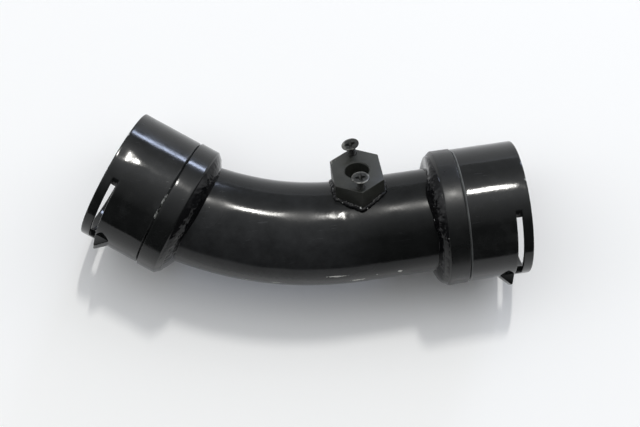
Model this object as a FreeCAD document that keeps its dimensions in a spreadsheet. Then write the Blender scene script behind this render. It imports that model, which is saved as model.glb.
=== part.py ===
import FreeCAD, Part
import math
import os
import Sketcher
from FreeCAD import Placement, Rotation, Vector

# Turbo pipe: a bent steel tube with a quick-connect socket at each end and a sensor block on its bend.
# X runs along the right leg and out of its mouth, the bend lies in the XY plane, Z points up.
# The origin is the middle of the right socket, at the stop face of the bushing inside it.

SIZES = [
    ("tube_od", 57.0, "outside diameter of the tube"),
    ("tube_wall", 2.0, "wall of the tube"),
    ("bend_radius", 180.0, "centre-line radius of the bend"),
    ("bend_angle", 37.0, "turn of the bend in degrees"),
    ("elbow_to_right_collar", 103.4, "from the crossing of the two socket axes to the right collar"),
    ("elbow_to_left_collar", 35.4, "from the crossing of the two socket axes to the left collar"),
    ("collar_od", 75.0, "outside diameter of a collar"),
    ("collar_length", 13.6, "length of a collar up to the seam"),
    ("collar_bevel_depth", 3.0, "radial depth of the bevel at the back of a collar"),
    ("collar_bevel_length", 3.2, "length of the bevel at the back of a collar"),
    ("bushing_wall", 4.7, "wall of the bushing, the inner end of a collar"),
    ("bushing_length", 16.4, "length of the bushing"),
    ("seam_gap", 0.9, "open groove between collar and sleeve"),
    ("sleeve_drop", 0.5, "step down from collar to sleeve"),
    ("sleeve_wall", 2.75, "wall of a sleeve in front of the bushing"),
    ("shoulder_depth", 0.65, "depth of the stop shoulder inside a sleeve"),
    ("sleeve_length", 34.0, "length of a sleeve"),
    ("sleeve_bevel_depth", 0.9, "bevel at the back of a sleeve"),
    ("sleeve_fit", 0.05, "radial clearance of the sleeve on the bushing"),
    ("mouth_lead", 0.6, "lead-in bevel of the mouth"),
    ("edge_break", 0.4, "small bevel on turned edges"),
    ("slot_width", 3.4, "width of a clip slot"),
    ("slot_from_mouth", 5.2, "from the mouth to a clip slot"),
    ("slot_depth", 7.5, "depth of the saw cut of a slot from the outside of the sleeve"),
    ("slot_spread", 90.0, "angle between the two slots of a sleeve"),
    ("clip_angle", 88.0, "angle of the middle of the clip slots round the sleeve from straight up"),
    ("left_lug_angle", 75.0, "angle of the left lug round its sleeve from straight up"),
    ("right_lug_angle", 88.0, "angle of the right lug round its sleeve from straight up"),
    ("lug_width", 9.0, "width of a lug"),
    ("lug_height", 5.4, "height of a lug over the sleeve"),
    ("lug_length", 7.4, "length of a lug along the sleeve"),
    ("lug_steep", 2.0, "length of the steep front of a lug"),
    ("lug_from_slot", 0.4, "from the slot to the lug"),
    ("seal_section", 3.5, "section diameter of a seal ring"),
    ("groove_depth", 2.9, "depth of the seal groove"),
    ("groove_width", 4.4, "width of the seal groove"),
    ("groove_from_front", 6.0, "from the front of the bushing to the middle of the seal groove"),
    ("weld_leg", 5.6, "leg of the bead between tube and collar"),
    ("boss_from_elbow", 63.8, "from the crossing of the socket axes to the sensor block"),
    ("boss_tilt", 45.0, "tilt of the sensor block from straight up in degrees"),
    ("boss_to_side", 2.7, "from the far point of the sensor block to the side of the tube"),
    ("boss_stand", 9.15, "height of the face of the sensor block over the tube"),
    ("boss_width", 26.5, "width of the sensor block along the tube"),
    ("boss_length", 38.6, "length of the sensor block between its points"),
    ("boss_flat", 21.6, "length of the straight sides of the sensor block"),
    ("boss_weld_leg", 2.6, "leg of the bead round the sensor block"),
    ("boss_weld_lump", 0.3, "extra radius of that bead where its runs meet"),
    ("sensor_bore", 13.2, "bore for the sensor"),
    ("screw_spacing", 28.9, "distance between the two screw holes"),
    ("screw_shank", 4.0, "shank diameter of a screw"),
    ("screw_end_gap", 0.4, "space under the end of a screw in its hole"),
    ("screw_point", 0.9, "bevel at the end of a screw"),
    ("screw_stand", 6.9, "height of the top of a screw over the face"),
    ("screw_head", 9.7, "head diameter of a screw"),
    ("screw_rim", 1.0, "height of the straight rim of a screw head"),
    ("screw_taper", 2.3, "height of the tapered underside of a screw head"),
    ("recess_span", 5.2, "span of the cross recess"),
    ("recess_width", 1.3, "width of the cross recess"),
    ("recess_depth", 1.6, "depth of the cross recess"),
]

# Lengths made up of sizes, written once as expressions

TUBE_R = "(Sizes.tube_od / 2)"
TUBE_INNER_R = "(Sizes.tube_od / 2 - Sizes.tube_wall)"
COLLAR_R = "(Sizes.collar_od / 2)"
SLEEVE_R = f"({COLLAR_R} - Sizes.sleeve_drop)"
SLEEVE_BORE_R = f"({SLEEVE_R} - Sizes.sleeve_wall)"
COUNTERBORE_R = f"({SLEEVE_BORE_R} + Sizes.shoulder_depth)"
BUSHING_R = f"({COUNTERBORE_R} - Sizes.sleeve_fit)"
SEAT_R = f"({BUSHING_R} - Sizes.bushing_wall)"
GROOVE_R = f"({SEAT_R} + Sizes.groove_depth)"
SLOT_FLOOR = f"({SLEEVE_R} - Sizes.slot_depth)"
BUSHING_FRONT = "(Sizes.collar_length + Sizes.bushing_length)"
GROOVE_MIDDLE = "(Sizes.collar_length + Sizes.bushing_length - Sizes.groove_from_front)"
SLEEVE_BACK = "(Sizes.collar_length + Sizes.seam_gap)"
SOCKET = "(Sizes.collar_length + Sizes.seam_gap + Sizes.sleeve_length)"
RIGHT_COLLAR = f"(-{BUSHING_FRONT})"
SLOT_FRONT = f"({SOCKET} - Sizes.slot_from_mouth)"
SLOT_BACK = f"({SOCKET} - Sizes.slot_from_mouth - Sizes.slot_width)"
LUG_FRONT = f"({SLOT_BACK} - Sizes.lug_from_slot)"
TANGENT = "(Sizes.bend_radius * tan(Sizes.bend_angle / 2))"
ELBOW = f"({RIGHT_COLLAR} - Sizes.elbow_to_right_collar)"
UNDER_ELBOW = f"max(0; {TANGENT} - Sizes.elbow_to_left_collar)"
TUBE_ASIDE = f"(Sizes.bend_radius - sqrt(Sizes.bend_radius ^ 2 - ({UNDER_ELBOW}) ^ 2))"
BOSS_HEIGHT = f"({TUBE_R} + Sizes.boss_stand)"
BOSS_ASIDE = f"({TUBE_R} - Sizes.boss_length / 2 - Sizes.boss_to_side)"
SCREW_R = "(Sizes.screw_shank / 2)"
SCREW_REACH = "(Sizes.boss_stand - Sizes.screw_end_gap)"
HEAD_R = "(Sizes.screw_head / 2)"
HALF_RECESS = "(Sizes.recess_span / 2)"
HALF_CROSS = "(Sizes.recess_width / 2)"

doc = FreeCAD.newDocument("turbo_pipe")
sheet = doc.addObject("Spreadsheet::Sheet", "Sizes")
for row, (alias, value, meaning) in enumerate(SIZES, start=1):
    sheet.set(f"A{row}", meaning)
    sheet.set(f"B{row}", str(value))
    sheet.setAlias(f"B{row}", alias)
doc.recompute()


# Points and placements of the two sockets

def left_point(along, aside):
    x = f"{ELBOW} - ({along}) * cos(Sizes.bend_angle) + ({aside}) * sin(Sizes.bend_angle)"
    y = f"({along}) * sin(Sizes.bend_angle) + ({aside}) * cos(Sizes.bend_angle)"
    return x, y


def placed(x, y, z, turn, roll):
    spot = f"create(<<vector>>; {x}; {y}; {z})"
    about_z = f"create(<<rotation>>; create(<<vector>>; 0; 0; 1); {turn})"
    about_x = f"create(<<rotation>>; create(<<vector>>; 1; 0; 0); {roll})"
    return f"create(<<placement>>; {spot}; {about_z} * {about_x})"


def right_socket(roll="0"):
    return placed(RIGHT_COLLAR, "0", "0", "0", roll)


def left_socket(roll="0", aside="0"):
    x, y = left_point("Sizes.elbow_to_left_collar", aside)
    return placed(x, y, "0", "180 - Sizes.bend_angle", roll)


def on_boss(shift, down="0"):
    x = f"{ELBOW} + Sizes.boss_from_elbow"
    y = f"{BOSS_HEIGHT} * sin(Sizes.boss_tilt) + {BOSS_ASIDE} * cos(Sizes.boss_tilt)"
    z = f"{BOSS_HEIGHT} * cos(Sizes.boss_tilt) - {BOSS_ASIDE} * sin(Sizes.boss_tilt)"
    face = placed(x, y, z, "0", "-Sizes.boss_tilt")
    spot = placed("0", shift, f"-({down})", "0", "0")
    return f"{face} * {spot}"


# Sketches and features

def new_body(label, place=None):
    body = doc.addObject("PartDesign::Body", label)
    body.Label = label
    if place:
        body.setExpression("Placement", place)
    return body


def new_sketch(body, name, role, lift=None):
    sketch = body.newObject("Sketcher::SketchObject", name)
    plane = next(item for item in body.Origin.OriginFeatures if item.Role == role)
    sketch.AttachmentSupport = [(plane, "")]
    sketch.MapMode = "FlatFace"
    if lift:
        sketch.setExpression("AttachmentOffset.Base.z", lift)
    return sketch


def bound(sketch, kind, drawn, expression, *where):
    index = sketch.addConstraint(Sketcher.Constraint(kind, *where, drawn))
    sketch.setExpression(f"Constraints[{index}]", expression)


def pinned(sketch, geometry, point, x, y):
    spot = sketch.getPoint(geometry, point)
    bound(sketch, "DistanceX", spot.x, x, -1, 1, geometry, point)
    bound(sketch, "DistanceY", spot.y, y, -1, 1, geometry, point)


def rounded(sketch, geometry, radius):
    bound(sketch, "Radius", sketch.Geometry[geometry].Radius, radius, geometry)


def closed_outline(sketch, corners):
    count = len(corners)
    spots = [Vector(math.cos(math.tau * i / count), math.sin(math.tau * i / count), 0) for i in range(count)]
    for i in range(count):
        sketch.addGeometry(Part.LineSegment(spots[i], spots[(i + 1) % count]))
    for i in range(count):
        sketch.addConstraint(Sketcher.Constraint("Coincident", i, 2, (i + 1) % count, 1))
    for i, (x, y) in enumerate(corners):
        pinned(sketch, i, 1, x, y)


def circle(sketch, radius, x="0", y="0"):
    index = sketch.addGeometry(Part.Circle(Vector(0, 0, 0), Vector(0, 0, 1), 1.0))
    rounded(sketch, index, radius)
    pinned(sketch, index, 3, x, y)


def turned(body, sketch, axis):
    feature = body.newObject("PartDesign::Revolution", f"{body.Name}_turn")
    feature.Profile = sketch
    feature.ReferenceAxis = (sketch, [axis])
    feature.Angle = 360
    return feature


def pocket(body, sketch, depth=None, both_ways=False):
    feature = body.newObject("PartDesign::Pocket", f"{sketch.Name}_cut")
    feature.Profile = sketch
    if both_ways:
        feature.SideType = "Symmetric"
    if depth:
        feature.Type = "Length"
        feature.setExpression("Length", depth)
    else:
        feature.Type = "ThroughAll"
    return feature


def cut(label, base, tool):
    feature = doc.addObject("Part::Cut", label)
    feature.Label = label
    feature.Base = base
    feature.Tool = tool
    return feature


# Tube

def tube_path(body):
    path = new_sketch(body, f"{body.Name}_path", "XY_Plane")
    radius = sheet.get("bend_radius")
    turn = math.radians(sheet.get("bend_angle"))
    tangent = radius * math.tan(turn / 2)
    right_end = Vector(-sheet.get("collar_length") - sheet.get("bushing_length"), 0, 0)
    elbow = right_end - Vector(sheet.get("elbow_to_right_collar"), 0, 0)
    leftward = Vector(-math.cos(turn), math.sin(turn), 0)
    middle = elbow + Vector(tangent, radius, 0)
    start = -math.pi / 2
    bend = Part.ArcOfCircle(Part.Circle(middle, Vector(0, 0, 1), radius), start - turn, start)
    far_end = elbow + leftward * (tangent + sheet.get("elbow_to_left_collar"))
    path.addGeometry(Part.LineSegment(right_end, bend.EndPoint))
    path.addGeometry(bend)
    path.addGeometry(Part.LineSegment(bend.StartPoint, far_end))
    path.addConstraint(Sketcher.Constraint("Coincident", 0, 2, 1, 2))
    path.addConstraint(Sketcher.Constraint("Coincident", 1, 1, 2, 1))
    rounded(path, 1, "Sizes.bend_radius")
    pinned(path, 0, 1, RIGHT_COLLAR, "0")
    pinned(path, 0, 2, f"{ELBOW} + {TANGENT}", "0")
    pinned(path, 2, 1, *left_point(TANGENT, "0"))
    pinned(path, 2, 2, *left_point(f"{TANGENT} + Sizes.elbow_to_left_collar", "0"))
    return path


def swept(body, kind, path, radius, name):
    ring = new_sketch(body, f"{body.Name}_{name}", "YZ_Plane", RIGHT_COLLAR)
    circle(ring, radius)
    feature = body.newObject(kind, f"{body.Name}_{name}_sweep")
    feature.Profile = ring
    feature.Spine = (path, ["Edge1", "Edge2", "Edge3"])
    return feature


def trimmed_left(body):
    trim = new_sketch(body, f"{body.Name}_trim", "XY_Plane")
    reach = f"(Sizes.elbow_to_left_collar + {TANGENT} + Sizes.tube_od)"
    closed_outline(trim, [
        left_point("Sizes.elbow_to_left_collar", "-Sizes.tube_od"),
        left_point("Sizes.elbow_to_left_collar", "Sizes.tube_od"),
        left_point(reach, "Sizes.tube_od"),
        left_point(reach, "-Sizes.tube_od"),
    ])
    return pocket(body, trim, both_ways=True)


rod = new_body("tube_outside")
swept(rod, "PartDesign::AdditivePipe", tube_path(rod), TUBE_R, "outside")

main_tube = new_body("main_tube")
tube_line = tube_path(main_tube)
swept(main_tube, "PartDesign::AdditivePipe", tube_line, TUBE_R, "outside")
swept(main_tube, "PartDesign::SubtractivePipe", tube_line, TUBE_INNER_R, "inside")
trimmed_left(main_tube)
sensor_drill = doc.addObject("Part::Cylinder", "sensor_drill")
sensor_drill.setExpression("Radius", "Sizes.sensor_bore / 2")
sensor_drill.setExpression("Height", BOSS_HEIGHT)
sensor_drill.setExpression("Placement", on_boss("0", BOSS_HEIGHT))


# Sockets

def make_collar(side, place):
    body = new_body(f"{side}_collar", place)
    profile = new_sketch(body, f"{side}_collar_profile", "XY_Plane")
    groove_back = f"{GROOVE_MIDDLE} - Sizes.groove_width / 2"
    groove_front = f"{GROOVE_MIDDLE} + Sizes.groove_width / 2"
    closed_outline(profile, [
        ("0", TUBE_INNER_R),
        ("0", f"{COLLAR_R} - Sizes.collar_bevel_depth"),
        ("Sizes.collar_bevel_length", COLLAR_R),
        ("Sizes.collar_length - Sizes.edge_break", COLLAR_R),
        ("Sizes.collar_length", f"{COLLAR_R} - Sizes.edge_break"),
        ("Sizes.collar_length", BUSHING_R),
        (BUSHING_FRONT, BUSHING_R),
        (BUSHING_FRONT, SEAT_R),
        (groove_front, SEAT_R),
        (groove_front, GROOVE_R),
        (groove_back, GROOVE_R),
        (groove_back, SEAT_R),
        ("Sizes.collar_length", SEAT_R),
        ("Sizes.collar_length", TUBE_INNER_R),
    ])
    turned(body, profile, "H_Axis")
    return body


def make_sleeve(side, place):
    body = new_body(f"{side}_sleeve", place)
    profile = new_sketch(body, f"{side}_sleeve_profile", "XY_Plane")
    closed_outline(profile, [
        (SLEEVE_BACK, COUNTERBORE_R),
        (SLEEVE_BACK, f"{SLEEVE_R} - Sizes.sleeve_bevel_depth"),
        (f"{SLEEVE_BACK} + Sizes.sleeve_bevel_depth", SLEEVE_R),
        (f"{SOCKET} - Sizes.mouth_lead", SLEEVE_R),
        (SOCKET, f"{SLEEVE_R} - Sizes.mouth_lead"),
        (SOCKET, f"{SLEEVE_BORE_R} + Sizes.mouth_lead"),
        (f"{SOCKET} - Sizes.mouth_lead", SLEEVE_BORE_R),
        (BUSHING_FRONT, SLEEVE_BORE_R),
        (BUSHING_FRONT, COUNTERBORE_R),
    ])
    turned(body, profile, "H_Axis")
    slot = new_sketch(body, f"{side}_slot", "XZ_Plane")
    closed_outline(slot, [
        (SLOT_BACK, SLOT_FLOOR),
        (SLOT_FRONT, SLOT_FLOOR),
        (SLOT_FRONT, COLLAR_R),
        (SLOT_BACK, COLLAR_R),
    ])
    saw_cut = pocket(body, slot, both_ways=True)
    doc.recompute()
    pair = body.newObject("PartDesign::PolarPattern", f"{side}_slots")
    pair.Originals = [saw_cut]
    pair.Axis = (slot, ["H_Axis"])
    body.Tip = pair
    pair.Mode = "Spacing"
    pair.setExpression("Offset", "Sizes.slot_spread")
    pair.Occurrences = 2
    return body


def make_lug(side, place):
    body = new_body(f"{side}_clip_lug", place)
    profile = new_sketch(body, f"{side}_lug_profile", "XZ_Plane")
    closed_outline(profile, [
        (f"{LUG_FRONT} - Sizes.lug_length", SLEEVE_BORE_R),
        (f"{LUG_FRONT} - Sizes.lug_length", SLEEVE_R),
        (f"{LUG_FRONT} - Sizes.lug_steep", f"{SLEEVE_R} + Sizes.lug_height"),
        (LUG_FRONT, SLEEVE_R),
        (LUG_FRONT, SLEEVE_BORE_R),
    ])
    wedge = body.newObject("PartDesign::Pad", f"{side}_lug_wedge")
    wedge.Profile = profile
    wedge.SideType = "Symmetric"
    wedge.setExpression("Length", "Sizes.lug_width")
    seat = new_sketch(body, f"{side}_lug_seat", "YZ_Plane")
    circle(seat, SLEEVE_R)
    pocket(body, seat, both_ways=True)
    return body


def make_seal(side, place):
    body = new_body(f"{side}_seal", place)
    section = new_sketch(body, f"{side}_seal_section", "XY_Plane")
    circle(section, "Sizes.seal_section / 2", GROOVE_MIDDLE, f"{GROOVE_R} - Sizes.seal_section / 2")
    turned(body, section, "H_Axis")
    return body


def make_weld(side, place):
    bead = new_body(f"{side}_bead", place)
    section = new_sketch(bead, f"{side}_bead_section", "XY_Plane")
    middle = Vector(0, sheet.get("tube_od") / 2, 0)
    ring = Part.Circle(middle, Vector(0, 0, 1), sheet.get("weld_leg"))
    half = Part.ArcOfCircle(ring, math.pi / 2, math.pi * 1.5)
    section.addGeometry(half)
    section.addGeometry(Part.LineSegment(half.EndPoint, half.StartPoint))
    section.addConstraint(Sketcher.Constraint("Coincident", 0, 2, 1, 1))
    section.addConstraint(Sketcher.Constraint("Coincident", 1, 2, 0, 1))
    section.addConstraint(Sketcher.Constraint("PointOnObject", 0, 1, -2))
    section.addConstraint(Sketcher.Constraint("PointOnObject", 0, 2, -2))
    pinned(section, 0, 3, "0", TUBE_R)
    rounded(section, 0, "Sizes.weld_leg")
    turned(bead, section, "H_Axis")
    return cut(f"{side}_weld", bead, rod)


half_spread = "Sizes.slot_spread / 2"
RIGHT_ROLL = f"Sizes.clip_angle - {half_spread}"
LEFT_ROLL = f"-Sizes.clip_angle - {half_spread}"
nodes = [
    make_collar("left", left_socket()),
    make_collar("right", right_socket()),
    make_sleeve("left", left_socket(LEFT_ROLL)),
    make_sleeve("right", right_socket(RIGHT_ROLL)),
    make_lug("left", left_socket("-Sizes.left_lug_angle")),
    make_lug("right", right_socket("Sizes.right_lug_angle")),
    make_seal("left", left_socket()),
    make_seal("right", right_socket()),
    make_weld("left", left_socket("0", TUBE_ASIDE)),
    make_weld("right", right_socket()),
]


# Sensor block

def hexagon(sketch):
    half_width = "Sizes.boss_width / 2"
    half_length = "Sizes.boss_length / 2"
    half_flat = "Sizes.boss_flat / 2"
    closed_outline(sketch, [
        ("0", half_length),
        (f"-{half_width}", half_flat),
        (f"-{half_width}", f"-{half_flat}"),
        ("0", f"-{half_length}"),
        (half_width, f"-{half_flat}"),
        (half_width, half_flat),
    ])


block = new_body("boss_block", on_boss("0"))
outline = new_sketch(block, "boss_outline", "XY_Plane")
hexagon(outline)
slab = block.newObject("PartDesign::Pad", "boss_slab")
slab.Profile = outline
slab.Reversed = True
slab.setExpression("Length", BOSS_HEIGHT)
coped_block = cut("coped_block", block, rod)

screw_drills = []
for end, shift in (("far", "Sizes.screw_spacing / 2"), ("near", "-Sizes.screw_spacing / 2")):
    drill = doc.addObject("Part::Cylinder", f"{end}_screw_drill")
    drill.setExpression("Radius", SCREW_R)
    drill.setExpression("Height", "Sizes.boss_stand")
    drill.setExpression("Placement", on_boss(shift, "Sizes.boss_stand"))
    screw_drills.append(drill)
drills = doc.addObject("Part::MultiFuse", "boss_drills")
drills.Shapes = [sensor_drill] + screw_drills
nodes.append(cut("sensor_boss", coped_block, drills))
drilled_tube = cut("drilled_tube", main_tube, sensor_drill)


# Screws

def make_screw(name, shift):
    body = new_body(name, on_boss(shift))
    profile = new_sketch(body, f"{name}_profile", "XZ_Plane")
    rim = "(Sizes.screw_stand - Sizes.screw_rim)"
    closed_outline(profile, [
        ("0", f"-{SCREW_REACH}"),
        (f"{SCREW_R} - Sizes.screw_point", f"-{SCREW_REACH}"),
        (SCREW_R, f"-{SCREW_REACH} + Sizes.screw_point"),
        (SCREW_R, f"{rim} - Sizes.screw_taper"),
        (HEAD_R, rim),
        (HEAD_R, "Sizes.screw_stand - Sizes.edge_break"),
        (f"{HEAD_R} - Sizes.edge_break", "Sizes.screw_stand"),
        ("0", "Sizes.screw_stand"),
    ])
    turned(body, profile, "V_Axis")
    cross = new_sketch(body, f"{name}_cross", "XY_Plane", "Sizes.screw_stand")
    closed_outline(cross, [
        (HALF_RECESS, HALF_CROSS),
        (HALF_CROSS, HALF_CROSS),
        (HALF_CROSS, HALF_RECESS),
        (f"-{HALF_CROSS}", HALF_RECESS),
        (f"-{HALF_CROSS}", HALF_CROSS),
        (f"-{HALF_RECESS}", HALF_CROSS),
        (f"-{HALF_RECESS}", f"-{HALF_CROSS}"),
        (f"-{HALF_CROSS}", f"-{HALF_CROSS}"),
        (f"-{HALF_CROSS}", f"-{HALF_RECESS}"),
        (HALF_CROSS, f"-{HALF_RECESS}"),
        (HALF_CROSS, f"-{HALF_CROSS}"),
        (HALF_RECESS, f"-{HALF_CROSS}"),
    ])
    pocket(body, cross, "Sizes.recess_depth")
    return body


screws = doc.addObject("Part::Compound", "sensor_screws")
screws.Label = "sensor_screws"
screws.Links = [
    make_screw("far_screw", "Sizes.screw_spacing / 2"),
    make_screw("near_screw", "-Sizes.screw_spacing / 2"),
]
nodes.append(screws)
main_tube.Label = "plain_tube"
drilled_tube.Label = "main_tube"
nodes.append(drilled_tube)
doc.recompute()


# Bead round the foot of the sensor block

def foot_edges(shape):
    flat = [face for face in shape.Faces if isinstance(face.Surface, Part.Plane)]
    curved = [face for face in shape.Faces if not isinstance(face.Surface, Part.Plane)]
    walls = [edge for face in flat for edge in face.Edges]
    seats = [edge for face in curved for edge in face.Edges]
    return [edge for edge in seats if any(edge.isSame(other) for other in walls)]


def round_bead(edges, radius, lump):
    runs = []
    joints = []
    for edge in edges:
        start = edge.valueAt(edge.FirstParameter)
        ring = Part.Circle(start, edge.tangentAt(edge.FirstParameter), radius)
        runs.append(Part.Wire([edge]).makePipe(Part.Face(Part.Wire(ring.toShape()))))
        for corner in edge.Vertexes:
            if not any(corner.Point.isEqual(spot, lump) for spot in joints):
                joints.append(corner.Point)
    lumps = [Part.makeSphere(radius + lump, spot) for spot in joints]
    return runs[0].multiFuse(runs[1:] + lumps)


bead_shape = round_bead(foot_edges(coped_block.Shape), sheet.get("boss_weld_leg"), sheet.get("boss_weld_lump"))
boss_weld = doc.addObject("Part::Feature", "boss_weld")
boss_weld.Label = "boss_weld"
boss_weld.Shape = bead_shape.cut([block.Shape, rod.Shape])
boss_weld.Placement = Placement(Vector(0, 0, 0), Rotation())
nodes.append(boss_weld)
doc.recompute()

# Every piece is sound before it is written

for item in doc.Objects:
    if "Invalid" in item.State or "Error" in item.State:
        raise RuntimeError(f"{item.Label} did not build")
for node in nodes:
    if node.Shape.isNull() or not node.Shape.isValid() or not node.Shape.Solids:
        raise RuntimeError(f"{node.Label} has no sound shape")

os.makedirs("parts", exist_ok=True)
for node in nodes:
    node.Shape.exportStep(f"parts/{node.Label}.step")
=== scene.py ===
import math

import bmesh
import bpy
from mathutils import Matrix, Vector, noise


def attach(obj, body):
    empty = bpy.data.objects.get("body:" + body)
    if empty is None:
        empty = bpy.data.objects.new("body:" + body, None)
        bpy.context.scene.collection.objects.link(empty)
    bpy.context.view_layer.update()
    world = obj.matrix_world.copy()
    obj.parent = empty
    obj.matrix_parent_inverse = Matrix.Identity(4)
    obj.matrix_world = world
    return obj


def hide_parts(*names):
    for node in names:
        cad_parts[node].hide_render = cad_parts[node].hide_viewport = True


# Turbo pipe: bent steel tube, a quick-connect socket at each end, a sensor block where the bend begins.
# Lengths in the dictionaries are millimetres in the part's own frame, angles are degrees.

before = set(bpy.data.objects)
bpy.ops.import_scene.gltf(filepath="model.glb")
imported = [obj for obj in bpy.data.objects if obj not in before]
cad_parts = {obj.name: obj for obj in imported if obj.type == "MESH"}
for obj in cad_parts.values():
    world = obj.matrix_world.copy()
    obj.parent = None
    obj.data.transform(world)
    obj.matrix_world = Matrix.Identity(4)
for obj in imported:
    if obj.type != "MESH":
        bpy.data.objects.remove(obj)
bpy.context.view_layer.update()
scene = bpy.context.scene
print("frame loaded:", len(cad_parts), "nodes")

mm = 0.001


# Small tools

def linear(code):
    parts = [int(code[i:i + 2], 16) / 255 for i in (1, 3, 5)]
    return [c / 12.92 if c <= 0.04045 else ((c + 0.055) / 1.055) ** 2.4 for c in parts] + [1.0]


def addNode(tree, kind, inputs=None, **settings):
    # an input is a value, a socket, or a node whose first output is meant
    node = tree.nodes.new("ShaderNode" + kind)
    for name, value in settings.items():
        setattr(node, name, value)
    for name, value in (inputs or {}).items():
        if isinstance(value, bpy.types.Node):
            value = value.outputs[0]
        if isinstance(value, bpy.types.NodeSocket):
            tree.links.new(value, node.inputs[name])
        else:
            node.inputs[name].default_value = value
    return node


def newMaterial(name):
    material = bpy.data.materials.new(name)
    material.use_nodes = True
    tree = material.node_tree
    tree.nodes.clear()
    return material, tree


edgeSteps = 4       # straights that make up a rounded edge
edgeShare = 0.45    # the most of a side that a rounded edge takes
sameSpot = 0.01     # points nearer than this are one


def ramp(value, start, end):
    return min(1.0, max(0.0, (value - start) / (end - start)))


def roundedProfile(corners, longest):
    # corners are (along, radius, edge round); long straights are divided so the lathe can be dented
    points = []
    count = len(corners)
    for i, (along, radius, edge) in enumerate(corners):
        here = Vector((along, radius))
        back = Vector(corners[i - 1][:2]) - here
        ahead = Vector(corners[(i + 1) % count][:2]) - here
        if edge:
            reach = min(edge, back.length * edgeShare, ahead.length * edgeShare)
            start = here + back.normalized() * reach
            end = here + ahead.normalized() * reach
            for step in range(edgeSteps + 1):
                t = step / edgeSteps
                points.append(start * (1 - t) ** 2 + here * 2 * t * (1 - t) + end * t * t)
        else:
            points.append(here)
    full = []
    for i, here in enumerate(points):
        ahead = points[(i + 1) % len(points)]
        parts = max(1, math.ceil((ahead - here).length / longest))
        full += [here.lerp(ahead, k / parts) for k in range(parts)]
    return full


def markSharp(bm, limit):
    for face in bm.faces:
        face.smooth = True
    for edge in bm.edges:
        if len(edge.link_faces) == 2:
            edge.smooth = edge.calc_face_angle(0) < math.radians(limit)


def makePiece(name, bm, material, node=None, sharp=32):
    bmesh.ops.recalc_face_normals(bm, faces=bm.faces)
    markSharp(bm, sharp)
    mesh = bpy.data.meshes.new(name)
    bm.to_mesh(mesh)
    bm.free()
    mesh.materials.append(material)
    piece = bpy.data.objects.new(name, mesh)
    scene.collection.objects.link(piece)
    if node:
        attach(piece, "root")
        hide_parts(node)
    return piece


def cutAway(piece, cutter):
    change = piece.modifiers.new("cut", "BOOLEAN")
    change.object = cutter
    change.operation = "DIFFERENCE"
    change.solver = "EXACT"
    graph = bpy.context.evaluated_depsgraph_get()
    cutMesh = bpy.data.meshes.new_from_object(piece.evaluated_get(graph))
    piece.modifiers.clear()
    old = piece.data
    piece.data = cutMesh
    bpy.data.meshes.remove(old)
    bpy.data.objects.remove(cutter)
    return piece


def resmooth(piece, limit):
    bm = bmesh.new()
    bm.from_mesh(piece.data)
    bmesh.ops.remove_doubles(bm, verts=bm.verts, dist=sameSpot * mm)
    markSharp(bm, limit)
    bm.to_mesh(piece.data)
    bm.free()


def joinLoops(bm, loops):
    # four-sided faces between neighbouring closed loops
    for here, ahead in zip(loops, loops[1:]):
        for k in range(len(here)):
            j = (k + 1) % len(here)
            bm.faces.new((here[k], here[j], ahead[j], ahead[k]))


def closeLoops(bm, loops):
    # the same with both ends capped
    joinLoops(bm, loops)
    bm.faces.new(loops[0][::-1])
    bm.faces.new(loops[-1])


def lathe(profile, columns, place):
    # place(along, radius, column) gives the point in metres
    bm = bmesh.new()
    grid = [[bm.verts.new(place(p.x, p.y, c)) for p in profile] for c in range(columns)]
    joinLoops(bm, grid + grid[:1])
    return bm, grid


# Where things are, as in the part's source

layout = {
    "rightCollar": -30.0, "elbow": -133.4, "bendRadius": 180.0, "bendTurn": 37.0, "leftReach": 35.4,
    "tubeRadius": 28.5, "tubeWall": 2.0,
}
tubeRadius, bendRadius, rightCollar = layout["tubeRadius"], layout["bendRadius"], layout["rightCollar"]
turn = math.radians(layout["bendTurn"])
tangent = bendRadius * math.tan(turn / 2)
bendStart = layout["elbow"] + tangent
leftAxis = Vector((-math.cos(turn), math.sin(turn), 0))
leftOrigin = Vector((layout["elbow"], 0, 0)) + leftAxis * layout["leftReach"]
bendMiddle = Vector((bendStart, bendRadius, 0))
trimReach = leftAxis.dot(bendMiddle - leftOrigin)
# the tube goes into the left collar before its bend ends, so a little beside the socket's axis
tubeAside = bendRadius - math.sqrt(bendRadius ** 2 - (tangent - layout["leftReach"]) ** 2)

sockets = {
    "right": {"sign": -1, "space": Matrix.Translation((rightCollar, 0, 0))},
    "left": {"sign": 1, "space": Matrix.Translation(leftOrigin) @ Matrix.Rotation(math.pi - turn, 4, "Z")},
}


def socketPoint(side, along, radius, angle):
    # angle is measured from straight up, towards the side where the clip goes
    socket = sockets[side]
    local = Vector((along, socket["sign"] * radius * math.sin(angle), radius * math.cos(angle)))
    return socket["space"] @ local


def socketPlace(side, point):
    # along the socket's axis, out from it, and round it in degrees
    local = sockets[side]["space"].inverted() @ point
    about = sockets[side]["sign"] * math.degrees(math.atan2(local.y, local.z))
    return local.x, math.hypot(local.y, local.z), about


def tubeAxes(point):
    # along the centre line from the right collar, and beside it towards the inside of the bend
    if point.x >= bendStart:
        return rightCollar - point.x, point.y
    behind, inward = bendStart - point.x, bendRadius - point.y
    along = rightCollar - bendStart + bendRadius * math.atan2(behind, inward)
    return along, bendRadius - math.hypot(behind, inward)


def tubeOut(point):
    # distance in millimetres outside the tube's skin
    return math.hypot(tubeAxes(point)[1], point.z) - tubeRadius


def tubeNormal(point):
    if point.x >= bendStart:
        return Vector((0, point.y, point.z)).normalized()
    inward = Vector((bendStart - point.x, bendRadius - point.y, 0))
    reach = inward.length
    return (inward / reach * (bendRadius - reach) + Vector((0, 0, point.z))).normalized()


def fractal(point, size, octaves=3):
    # soft noise of about that grain size in millimetres, around -1 to 1
    return noise.fractal(point / size, 0.6, 2.0, octaves)


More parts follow.
